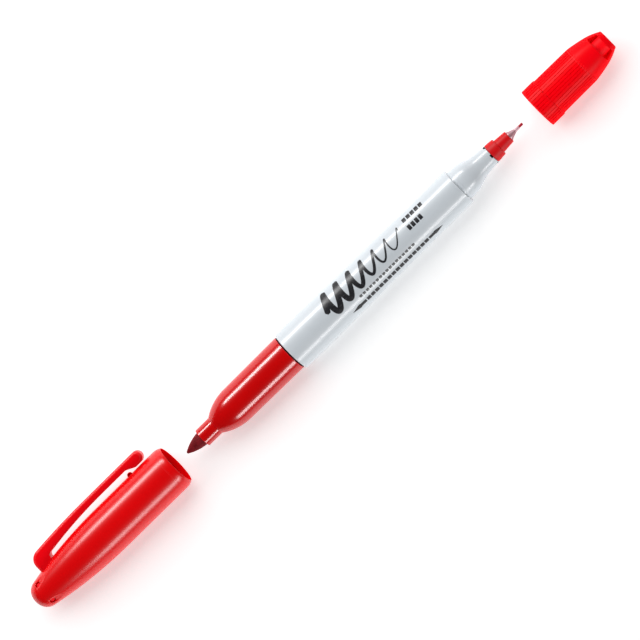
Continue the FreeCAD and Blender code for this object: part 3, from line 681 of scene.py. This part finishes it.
def block(start, end, height, half_width):
    """A straight bar with rounded corners."""
    x = start + (end - start) * (0.5 - 0.5 * np.cos(np.linspace(0, math.pi, 32)))
    near = np.minimum(x - start, end - x) / BLOCK_SOFT
    return level_stroke(x, height, half_width - BLOCK_SOFT + BLOCK_SOFT * rounded(near))


def blocks(start, end, height, half_width, count, filled):
    """A row of blocks that each fill so much of their share of its length."""
    share = (end - start) / (count - 1 + filled)
    starts = [start + number * share for number in range(count)]
    return [block(place, place + filled * share, height, half_width) for place in starts]


def dart(tip, tail, height, half_width):
    """A long sharp point that widens to a head and narrows to its tail."""
    t = np.linspace(0, 1, 40)
    neck = half_width * 0.7
    half = np.interp(t, [0, 0.55, 0.62, 1], [0.02, half_width, neck, neck])
    return level_stroke(np.linspace(tip, tail, len(t)), height, half)


# In the row frame the mark's places along the barrel are below 0, since 0 is at the shoulder.
mark = joined(
    wave_stroke(),
    *blocks(-16.4, -9.6, 3.95, 0.66, 5, 0.80),
    *blocks(-16.4, -11.6, 1.35, 0.72, 4, 0.78),
    *blocks(-37.4, -18.0, -2.6, 0.36, 17, 0.74),
    dart(-41.6, -36.8, -4.75, 0.72),
    *blocks(-36.5, -14.7, -4.75, 0.60, 15, 0.84),
    dart(-9.6, -14.4, -4.75, 0.72),
)
mark.name = "printed_mark"
place_piece(mark, "marker", black_ink)

# --- fine section and bullet nib --------------------------------------------------------------

GROOVE_START = 31.55
GROOVE_END = 32.02
GROOVE_FLOOR = 4.6
SHADE_TOP = 5.15
SHADE_MARGIN = 0.05
section_path = [
    at(0, 2.0, soft=0.12),
    at(0, 2.63, soft=0.16),
    at(4.55, 2.63, soft=0.2),
    at(4.9, 2.80, 0.45, soft=0.6),
    at(12.6, 5.12, -tangent_arc(7.7, 2.32)),
    at(GROOVE_START, 5.26, soft=0.1),
    at(GROOVE_START, GROOVE_FLOOR),
    at(GROOVE_END, GROOVE_FLOOR),
    at(GROOVE_END, PLUG_RADIUS),
    at(40.12, PLUG_RADIUS, soft=0.2),
    at(40.12, 4.1),
    at(13.0, 4.1),
    at(7.6, 2.0),
]
section_start = start_of("fine_section")
section = lathe("fine_section_shell", section_path, section_start)
section.data.materials.append(section_plastic)
section.data.materials.append(painted_groove_shade)
# Painted shade: faces on the groove's floor and sides take the near-black second finish.
for face in section.data.polygons:
    along = face.center.x / MM - section_start
    reach = math.hypot(face.center.y, face.center.z) / MM
    in_groove = GROOVE_START - SHADE_MARGIN < along < GROOVE_END + SHADE_MARGIN
    if in_groove and GROOVE_FLOOR - SHADE_MARGIN < reach < SHADE_TOP:
        face.material_index = 1
place_piece(section, "marker", None, ["fine_section"])


def fibrous(depth, count, seed):
    """A reshape that ripples the surface along many uneven strands."""
    draw = np.random.default_rng(seed)
    phases = draw.uniform(0, FULL_TURN, count)
    weights = draw.uniform(0.3, 1.0, count)
    turns = draw.integers(17, 90, count)
    drift = draw.uniform(-0.7, 0.7, count)

    def reshape(x, r, angle, mark):
        ripple = np.zeros(len(angle))
        for phase, weight, turn, wander in zip(phases, weights, turns, drift):
            ripple += weight * np.sin(turn * angle + phase + wander * x)
        return x, r + depth * ripple / math.sqrt(count) * smooth(0.3, 1.6, r)

    return reshape


NIB_RADIUS = 1.98
nib_path = [
    at(0, 0),
    at(0.22, 0.36, -0.42, soft=0.5),
    at(5.57, NIB_RADIUS, -13.0),
    at(24.97, NIB_RADIUS, soft=0.5),
    at(26.97, 0.6, soft=0.3),
    at(26.97, 0),
]
nib = lathe("bullet_nib_fibre", nib_path, start_of("bullet_nib"), 0.25, evenly(192), fibrous(0.012, 14, 4))
place_piece(nib, "marker", nib_fibre, ["bullet_nib"])

# --- ink store and wick -----------------------------------------------------------------------

STORE_LENGTH = 74.8
STORE_RADIUS = 3.95
WRAP_INNER, WRAP_OUTER = 3.97, 4.05
NIB_HOLE, NIB_HOLE_END = 2.0, 8.6
WICK_HOLE, WICK_HOLE_START = 0.93, 66.2
WICK_RADIUS, WICK_LENGTH = 0.9, 26.92
store_path = [
    at(0, NIB_HOLE, soft=0.2),
    at(0, STORE_RADIUS, soft=0.3),
    at(STORE_LENGTH, STORE_RADIUS, soft=0.3),
    at(STORE_LENGTH, WICK_HOLE, soft=0.1),
    at(WICK_HOLE_START, WICK_HOLE),
    at(WICK_HOLE_START, 0),
    at(NIB_HOLE_END, 0),
    at(NIB_HOLE_END, NIB_HOLE),
]
store = lathe("ink_store_fibre", store_path, start_of("reservoir_core"), 1.5, evenly(160),
              fibrous(0.012, 12, 7))
place_piece(store, "marker", store_fibre, ["reservoir_core"])

wrap_path = [
    at(0, WRAP_INNER),
    at(0, WRAP_OUTER),
    at(STORE_LENGTH, WRAP_OUTER),
    at(STORE_LENGTH, WRAP_INNER),
]
wrap = lathe("ink_store_wrap", wrap_path, start_of("reservoir_wrap"), 3.0, evenly(160))
place_piece(wrap, "marker", wrap_film, ["reservoir_wrap"])

wick_path = [
    at(0, 0),
    at(0, WICK_RADIUS, soft=0.1),
    at(WICK_LENGTH, WICK_RADIUS, soft=0.1),
    at(WICK_LENGTH, 0),
]
wick = lathe("feed_wick_rod", wick_path, start_of("feed_wick"), 1.2, evenly(96), fibrous(0.01, 10, 9))
place_piece(wick, "marker", store_fibre, ["feed_wick"])

# --- ultra-fine point -------------------------------------------------------------------------

COLLAR_START, COLLAR_END = 6.12, 8.75
HOLDER_LENGTH = 12.4
SLEEVE_SEAT, SLEEVE_SEAT_START = 0.8, 8.5
holder_path = [
    at(0, WICK_HOLE),
    at(0, 1.5, soft=0.1),
    at(1.7, HOLDER_SEAT),
    at(COLLAR_START, HOLDER_SEAT),
    at(COLLAR_START, 2.73, soft=0.14),
    at(COLLAR_END, 2.50, soft=0.14),
    at(COLLAR_END, 1.97, soft=0.12),
    at(HOLDER_LENGTH, 1.68, soft=0.12),
    at(HOLDER_LENGTH, SLEEVE_SEAT),
    at(SLEEVE_SEAT_START, SLEEVE_SEAT),
    at(SLEEVE_SEAT_START, WICK_HOLE),
]
holder = lathe("point_holder", holder_path, start_of("ultra_fine_holder"), 0.4)
place_piece(holder, "marker", holder_plastic, ["ultra_fine_holder"])

FLANGE_START, FLANGE_END, FLANGE_RADIUS = 3.6, 4.0, 1.27
CONE_END = 5.7
TUBE_END = 7.1
POINT_HOLE = 0.36
sleeve_path = [
    at(0, POINT_HOLE),
    at(0, SLEEVE_SEAT, soft=0.1),
    at(FLANGE_START, SLEEVE_SEAT),
    at(FLANGE_START, FLANGE_RADIUS, soft=0.08),
    at(FLANGE_END, FLANGE_RADIUS, soft=0.1),
    at(FLANGE_END, 1.11, soft=0.05),
    at(CONE_END, 0.52, soft=0.06),
    at(CONE_END, 0.47, soft=0.03),
    at(TUBE_END, 0.41, soft=0.05),
    at(TUBE_END, POINT_HOLE),
]
sleeve = lathe("point_metal_sleeve", sleeve_path, start_of("point_sleeve"), 0.15, evenly(128))
place_piece(sleeve, "marker", sleeve_metal, ["point_sleeve"])

POINT_RADIUS, POINT_LENGTH = 0.35, 8.6
point_path = [
    at(0, 0),
    at(0, POINT_RADIUS, soft=0.05),
    at(POINT_LENGTH, POINT_RADIUS, soft=0.27),
    at(POINT_LENGTH, 0),
]
point = lathe("ultra_fine_point", point_path, start_of("ultra_fine_nib"), 0.2, evenly(96))
place_piece(point, "marker", point_fibre, ["ultra_fine_nib"])

# --- fine cap ---------------------------------------------------------------------------------

CAP_VENTS = 4
VENT_TURN = math.radians(45)
VENT_STEP = FULL_TURN / CAP_VENTS
FINE_CAP_LENGTH = 51.05
FINE_CAP_RADIUS = 6.33
FINE_CAP_BORE = 5.34
FINE_CAP_FLOOR = 2.2
BEND_END = 27.5
PIP_PLACE, PIP_HEIGHT, PIP_RADIUS = 40.6, 6.2, 0.82
SCOOP_START = 3.6
SCOOP_END = 6.95
SCOOP_HALF_WIDTH = 1.2
SCOOP_DEPTH = 0.24
# Numbers of outline stops: the fine cap's scooped ones, and the first on the inside of either cap.
SCOOPED_SPANS = (3, 4, 5)
FIRST_INSIDE = 11
fine_start = start_of("fine_cap_shell")
outer_arc = tangent_arc(24.35, 2.33)


def fine_cap_radius(x):
    """The fine cap's outside at a distance from its closed end."""
    before_end = np.clip(BEND_END - x, 0, 25)
    return FINE_CAP_RADIUS - outer_arc + np.sqrt(outer_arc**2 - before_end**2)


fine_cap_path = [
    at(FINE_CAP_FLOOR, 0),
    at(0, 0),
    at(0, 0.4, soft=0.5),
    at(3.15, 4.0, -3.6, 2.2, 0.2),
    at(7.2, float(fine_cap_radius(7.2)), -outer_arc, 0, 0.1),
    at(BEND_END, FINE_CAP_RADIUS, -outer_arc),
    at(48.85, FINE_CAP_RADIUS, soft=0.3),
    at(48.95, 6.30, soft=0.1),
    at(49.05, FINE_CAP_RADIUS, soft=0.3),
    at(FINE_CAP_LENGTH, 5.70, -tangent_arc(2.05, 0.63), soft=0.06),
    at(FINE_CAP_LENGTH, 5.58, soft=0.06),
    at(49.85, FINE_CAP_BORE, soft=0.4),
    at(28.0, FINE_CAP_BORE),
    at(3.4, 2.95, tangent_arc(24.6, 2.39)),
    at(FINE_CAP_FLOOR, 1.9, soft=0.4),
]


def scooped(x, r, angle, mark):
    """A reshape that sinks a shallow scoop into the cap beside each vent hole."""
    if mark not in SCOOPED_SPANS or x[0] > SCOOP_END or x[0] < 2.6:
        return x, r
    off = (angle - VENT_TURN + VENT_STEP / 2) % VENT_STEP - VENT_STEP / 2
    t = np.clip((x - SCOOP_START) / (SCOOP_END - SCOOP_START), 0, 1)
    half = SCOOP_HALF_WIDTH * np.sqrt(np.clip(1 - t**3, 1e-4, 1))
    across = 1 - smooth(0.3, 1.0, np.abs(off * r) / half)
    depth = SCOOP_DEPTH * (1 - t) ** 0.8 * smooth(3.0, SCOOP_START, x)
    return x, r - depth * across


def cap_angles():
    """Angles round the fine cap, closer together at the vents."""
    near = np.linspace(-0.28, 0.28, 57)
    far = np.linspace(0.28, VENT_STEP - 0.28, 37)[1:-1]
    one_step = np.concatenate([near, far])
    return np.concatenate([vent + one_step for vent in VENT_TURN + evenly(CAP_VENTS)])


fine_cap = lathe("fine_cap_moulding", fine_cap_path, fine_start, 1.0, cap_angles(), scooped, FIRST_INSIDE)
holes = []
for angle in VENT_TURN + evenly(CAP_VENTS):
    hole = prism([(3.12, -0.72), (3.12, 0.72), (4.78, 0.72), (4.78, -0.72)], 3.4, 0.66)
    hole.data.transform(Matrix.Translation((0, 0, 4.0 * MM)))
    holes.append(turned(moved(hole, fine_start), angle - math.pi / 2))
combine(fine_cap, holes, "DIFFERENCE")
combine(fine_cap, [ball((fine_start + PIP_PLACE, PIP_HEIGHT, 0), PIP_RADIUS)], "UNION")
place_piece(fine_cap, "fine_cap", cap_plastic, ["fine_cap_shell"])

SEAL_RADIUS = 3.35
SEAL_BORE = 2.68
SEAL_CUP_FLOOR = 11.2
SEAL_END = 23.6
SEAL_RIM_START, SEAL_RIM_END, SEAL_RIM_RADIUS = 20.2, 21.2, 5.08
fine_seal_path = [
    at(FINE_CAP_FLOOR, 0),
    at(FINE_CAP_FLOOR, 1.5),
    at(10.2, 1.5, soft=0.3),
    at(10.8, SEAL_RADIUS, soft=0.5),
    at(SEAL_RIM_START, SEAL_RADIUS, soft=0.2),
    at(SEAL_RIM_START, SEAL_RIM_RADIUS, soft=0.15),
    at(SEAL_RIM_END, SEAL_RIM_RADIUS, soft=0.15),
    at(SEAL_RIM_END, SEAL_RADIUS, soft=0.3),
    at(SEAL_END, SEAL_RADIUS, soft=0.12),
    at(SEAL_END, 3.0, soft=0.1),
    at(23.1, SEAL_BORE, soft=0.3),
    at(SEAL_CUP_FLOOR, SEAL_BORE, soft=0.5),
    at(SEAL_CUP_FLOOR, 0),
]
fine_seal = lathe("fine_cap_inner_seal", fine_seal_path, fine_start, 0.6, evenly(192))
notches, prongs = [], []
for angle in VENT_TURN + evenly(CAP_VENTS):
    notch = prism([(20.0, 4.3), (20.0, 6.2), (21.4, 6.2), (21.4, 4.3)], 1.2, 0.08)
    notches.append(turned(moved(notch, fine_start), angle))
    prong = prism([(3.4, 0.7), (3.4, 3.72), (4.5, 3.72), (4.5, 0.7)], 0.95, 0.3)
    prongs.append(turned(moved(prong, fine_start), angle))
combine(fine_seal, notches, "DIFFERENCE")
joined(fine_seal, *prongs)
place_piece(fine_seal, "fine_cap", seal_plastic, ["fine_cap_seal"])

# --- pocket clip ------------------------------------------------------------------------------

CLIP_HALF = 2.15
CLIP_SINK = 0.4
CLIP_TOP = 9.96
CLIP_UNDER = 7.9
CLIP_REAR = 6.67
REAR_ROUND = 2.95
BACK_ARC = 235
BACK_LEVEL = 28
TIP_CENTRE = 45.15
TIP_RADIUS = 1.65
BALL_LOW = CLIP_TOP - 2 * TIP_RADIUS
ROOT_LOW = 3.6
ROOT_FRONT = 11.3
CLIP_EDGES = [0.0, *[0.7] * 6, 0.5, 0.25, *[0.16] * 4]
slant = (BACK_LEVEL - CLIP_REAR - REAR_ROUND) / (BACK_ARC - REAR_ROUND)
level = math.sqrt(1 - slant * slant)
bend_top = CLIP_TOP - BACK_ARC * (1 - level)
clip_path = [
    at(CLIP_REAR, ROOT_LOW),
    at(CLIP_REAR, bend_top - REAR_ROUND * level),
    at(BACK_LEVEL - BACK_ARC * slant, bend_top, -REAR_ROUND),
    at(BACK_LEVEL, CLIP_TOP, -BACK_ARC),
    at(TIP_CENTRE, CLIP_TOP),
    at(TIP_CENTRE + TIP_RADIUS, CLIP_TOP - TIP_RADIUS, -TIP_RADIUS),
    at(TIP_CENTRE, BALL_LOW, -TIP_RADIUS),
    at(43.4, BALL_LOW, soft=1.4),
    at(40.9, CLIP_UNDER, soft=1.6),
    at(32.0, CLIP_UNDER),
    at(12.3, 6.5, tangent_arc(19.7, 1.4)),
    at(ROOT_FRONT, 5.5, 1.0),
    at(ROOT_FRONT, ROOT_LOW),
]


def clip_mesh():
    """The clip's outline as thick as the clip is wide. Its long edges are rounded by CLIP_EDGES, one
    for each stop of the outline, and its root sits in the cap."""
    points, _, marks = outline_points(clip_path, 0.5)
    count = len(points)
    ahead = np.roll(points, -1, axis=0) - points
    behind = points - np.roll(points, 1, axis=0)
    ahead /= np.linalg.norm(ahead, axis=1)[:, None]
    behind /= np.linalg.norm(behind, axis=1)[:, None]
    tangent = ahead + behind
    tangent /= np.linalg.norm(tangent, axis=1)[:, None]
    inward = np.stack([tangent[:, 1], -tangent[:, 0]], axis=1)
    rounding = np.array([CLIP_EDGES[mark] for mark in marks])
    root = points[:, 1] < ROOT_LOW + 0.01
    rounding[root] = 0.0
    for _ in range(6):
        rounding = (np.roll(rounding, 1) + 2 * rounding + np.roll(rounding, -1)) / 4
    layers = []
    for turn in np.linspace(0, math.pi / 2, 7):
        drop = rounding * (1 - math.cos(turn))
        layers.append((CLIP_HALF - rounding * (1 - math.sin(turn)), drop))
    support = (np.full(count, CLIP_HALF), rounding + 0.05)
    far_side = [(-z, drop) for z, drop in [support] + layers[::-1]]
    middle = [(np.full(count, z), np.zeros(count)) for z in np.linspace(-1.4, 1.4, 9)]
    order = far_side + middle + layers + [support]
    vertices, edges = [], []
    for z, drop in order:
        ring = points + inward * drop[:, None]
        seat = np.sqrt(np.maximum((fine_cap_radius(ring[:, 0]) - CLIP_SINK) ** 2 - z**2, 1.0))
        height = np.where(root, seat, ring[:, 1])
        vertices.extend(np.stack([ring[:, 0] + fine_start, height, z], axis=1))
        edges.extend((np.abs(z) > CLIP_HALF - 0.45) & (drop <= rounding) & (drop > 0))
    faces = []
    for k in range(len(order) - 1):
        for i in range(count):
            j = (i + 1) % count
            a, b = k * count, (k + 1) * count
            faces.append((a + i, a + j, b + j, b + i))
    last = (len(order) - 1) * count
    faces.append(tuple(range(count)))
    faces.append(tuple(range(last, last + count)))
    return new_piece("pocket_clip_arm", vertices, faces, edge=edges)


clip = clip_mesh()
clip.data.materials.append(clip_painted_lighter_plastic)
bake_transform(clip)
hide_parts("pocket_clip")

# --- ultra-fine cap ---------------------------------------------------------------------------

GRIP_RIBS = 42
RIB_PITCH = FULL_TURN / GRIP_RIBS
GROOVE_DEPTH = 0.21
ULTRA_CAP_LENGTH = 25.1
ULTRA_CAP_RADIUS = 5.8
ULTRA_CAP_BORE = 4.63
CROWN_ARC = 49.0
WINDOW_START, WINDOW_END = 21.2, 23.8
WINDOW_WEB = 2.6
BULKHEAD = 20.4
POST_HOLE = 2.72
ultra_start = start_of("ultra_fine_cap_shell")
ultra_cap_path = [
    at(0, 4.9, soft=0.1),
    at(0, ULTRA_CAP_RADIUS, soft=0.3),
    at(4.1, ULTRA_CAP_RADIUS, soft=0.12),
    at(4.3, 5.57, soft=0.1),
    at(15.0, 5.475),
    at(15.6, 5.47, 0, 3.0, 0.15),
    at(16.7, 5.308, -CROWN_ARC, 0, 0.15),
    at(WINDOW_START, 4.40, -CROWN_ARC, soft=1.5),
    at(24.75, 2.92, -16.0, soft=0.5),
    at(ULTRA_CAP_LENGTH, 2.57, -0.35, soft=0.2),
    at(ULTRA_CAP_LENGTH, 0),
    at(WINDOW_END, 0),
    at(WINDOW_END, POST_HOLE),
    at(BULKHEAD, POST_HOLE),
    at(BULKHEAD, 3.6, soft=0.3),
    at(14.6, ULTRA_CAP_BORE, soft=0.6),
    at(0.9, ULTRA_CAP_BORE, soft=0.5),
]
RIBBED_SPANS = range(1, 8)


def ribbed(x, r, angle, mark):
    """A reshape that sinks the grip grooves between rounded ribs and lets them run out."""
    if mark not in RIBBED_SPANS:
        return x, r
    off = np.abs((angle / RIB_PITCH + 0.5) % 1 - 0.5)
    groove = 1 - smooth(0.08, 0.22, off)
    crown = 0.025 * np.clip((0.5 - off) / 0.35, 0, 1) ** 2
    fade = smooth(0.15, 0.7, x) * (1 - smooth(15.5, 16.5, x))
    return x, r - (GROOVE_DEPTH * groove + 0.03 - crown) * fade


def rib_angles():
    """Angles round the ribbed cap, closer together at the grooves' sides."""
    half = np.array([0, 0.05, 0.085, 0.12, 0.155, 0.20, 0.29, 0.40])
    steps = np.concatenate([half, [0.5], 1 - half[:0:-1]])
    return (np.arange(GRIP_RIBS)[:, None] + steps).ravel() * RIB_PITCH


ultra_cap = lathe("ultra_fine_cap_moulding", ultra_cap_path, ultra_start, 0.8, rib_angles(), ribbed,
                  FIRST_INSIDE)
window = prism([(WINDOW_START, -3.8), (WINDOW_START, 3.8), (WINDOW_END, 2.9), (WINDOW_END, -2.9)], 14, 0.3)
combine(ultra_cap, [moved(window, ultra_start)], "DIFFERENCE")
web_low, web_high = WINDOW_START - 0.15, WINDOW_END + 0.15
webs = []
for side in (1, -1):
    corners = [(web_low, 2.5), (web_low, 3.95), (web_high, 3.05), (web_high, 2.5)]
    webs.append(moved(prism([(x, side * y) for x, y in corners], WINDOW_WEB, 0.0), ultra_start))
joined(ultra_cap, *webs)
place_piece(ultra_cap, "ultra_fine_cap", bright_plastic, ["ultra_fine_cap_shell"])

POST_RADIUS = 2.66
RING_START, RING_END, RING_RADIUS = 15.6, 16.4, 4.28
ultra_seal_path = [
    at(12.1, 2.76, soft=0.1),
    at(12.1, SEAL_RADIUS, soft=0.12),
    at(RING_START, SEAL_RADIUS),
    at(RING_START, RING_RADIUS, soft=0.1),
    at(RING_END, RING_RADIUS, soft=0.1),
    at(RING_END, SEAL_RADIUS),
    at(18.6, SEAL_RADIUS),
    at(20.2, POST_RADIUS),
    at(WINDOW_END, POST_RADIUS),
    at(WINDOW_END, 0),
    at(23.1, 0),
    at(23.1, 1.9),
    at(14.6, 2.03),
    at(14.6, 2.58),
]
ultra_seal = lathe("ultra_fine_cap_inner_seal", ultra_seal_path, ultra_start, 0.5, evenly(192))
place_piece(ultra_seal, "ultra_fine_cap", seal_plastic, ["ultra_fine_cap_seal"])

# --- floor, light and camera ------------------------------------------------------------------

LOOK_AT = Vector((-49.37, 0.45, 0)) * MM
CAMERA_DISTANCE = 1.2
CAMERA_TILT = math.radians(6.5)
CAMERA_ROLL = math.radians(44.52)
FLOOR_HALF = 2.0


def floor_material():
    """A plain matt light table, very slightly uneven."""
    made = Finish("floor_paper", Roughness=0.9, Specular_IOR_Level=0.1, Emission_Color=(1, 1, 1, 1),
                  Emission_Strength=0.55)
    tone = made.noise(9, 2)
    made.colour(made.mix(made.spread(tone, 0, 1), (0.90, 0.90, 0.90), (0.93, 0.93, 0.93)))
    made.bump(made.noise(700, 3), 8e-6)
    return made.material


floor_mesh = bpy.data.meshes.new("floor")
floor_height = cad_low.z - 0.05 * MM
floor_corners = [(-1, -1), (1, -1), (1, 1), (-1, 1)]
floor_mesh.from_pydata([(x * FLOOR_HALF, y * FLOOR_HALF, floor_height) for x, y in floor_corners], [],
                       [(0, 1, 2, 3)])
floor = bpy.data.objects.new("floor", floor_mesh)
bpy.context.scene.collection.objects.link(floor)
floor.data.materials.append(floor_material())


def softbox(name, degrees, distance, length, width, power):
    """A soft light parallel to the marker, so many degrees from straight above towards the clip's
    side, with its distance and size in metres."""
    angle = math.radians(degrees)
    lamp = bpy.data.lights.new(name, "AREA")
    lamp.shape = "RECTANGLE"
    lamp.size, lamp.size_y = length, width
    lamp.energy = power
    lit = bpy.data.objects.new(name, lamp)
    bpy.context.scene.collection.objects.link(lit)
    lit.location = LOOK_AT + Vector((0, math.sin(angle), math.cos(angle))) * distance
    lit.rotation_euler = (-angle, 0, 0)
    return lit


def link_floor(lamp, state):
    """Makes the lamp light the floor alone (INCLUDE) or all but the floor (EXCLUDE)."""
    chosen = bpy.data.collections.new(lamp.name + "_floor")
    chosen.objects.link(floor)
    chosen.collection_objects[0].light_linking.link_state = state
    lamp.light_linking.receiver_collection = chosen


link_floor(softbox("key_strip", 60.5, 0.7, 0.6, 0.15, 5.7), "EXCLUDE")
link_floor(softbox("fill_strip", -61.5, 0.7, 0.6, 0.2, 4.0), "EXCLUDE")
link_floor(softbox("table_light", 42, 1.0, 2.0, 1.0, 14), "INCLUDE")

# The surroundings are dim for the marker and pale for the camera.
world = bpy.data.worlds.new("studio")
bpy.context.scene.world = world
world.use_nodes = True
nodes, links = world.node_tree.nodes, world.node_tree.links
dim = nodes["Background"]
dim.inputs["Color"].default_value = (0.92, 0.95, 1.0, 1)
dim.inputs["Strength"].default_value = 0.03
pale = nodes.new("ShaderNodeBackground")
pale.inputs["Color"].default_value = (1, 1, 1, 1)
pale.inputs["Strength"].default_value = 1.0
choose = nodes.new("ShaderNodeMixShader")
path = nodes.new("ShaderNodeLightPath")
links.new(path.outputs["Is Camera Ray"], choose.inputs[0])
links.new(dim.outputs[0], choose.inputs[1])
links.new(pale.outputs[0], choose.inputs[2])
links.new(choose.outputs[0], nodes["World Output"].inputs["Surface"])

camera_data = bpy.data.cameras.new("camera")
camera_data.lens = 264.5
camera_data.sensor_width = 36
camera_data.clip_start = 0.05
camera = bpy.data.objects.new("camera", camera_data)
bpy.context.scene.collection.objects.link(camera)
away = Vector((math.sin(CAMERA_TILT), 0, math.cos(CAMERA_TILT)))
level_x = Vector((math.cos(CAMERA_TILT), 0, -math.sin(CAMERA_TILT)))
level_y = Vector((0, 1, 0))
right = level_x * math.cos(CAMERA_ROLL) - level_y * math.sin(CAMERA_ROLL)
up = level_x * math.sin(CAMERA_ROLL) + level_y * math.cos(CAMERA_ROLL)
spot = LOOK_AT + away * CAMERA_DISTANCE
camera.matrix_world = Matrix((
    (right.x, up.x, away.x, spot.x),
    (right.y, up.y, away.y, spot.y),
    (right.z, up.z, away.z, spot.z),
    (0, 0, 0, 1),
))
bpy.context.scene.camera = camera
bpy.context.scene.view_settings.view_transform = "Standard"
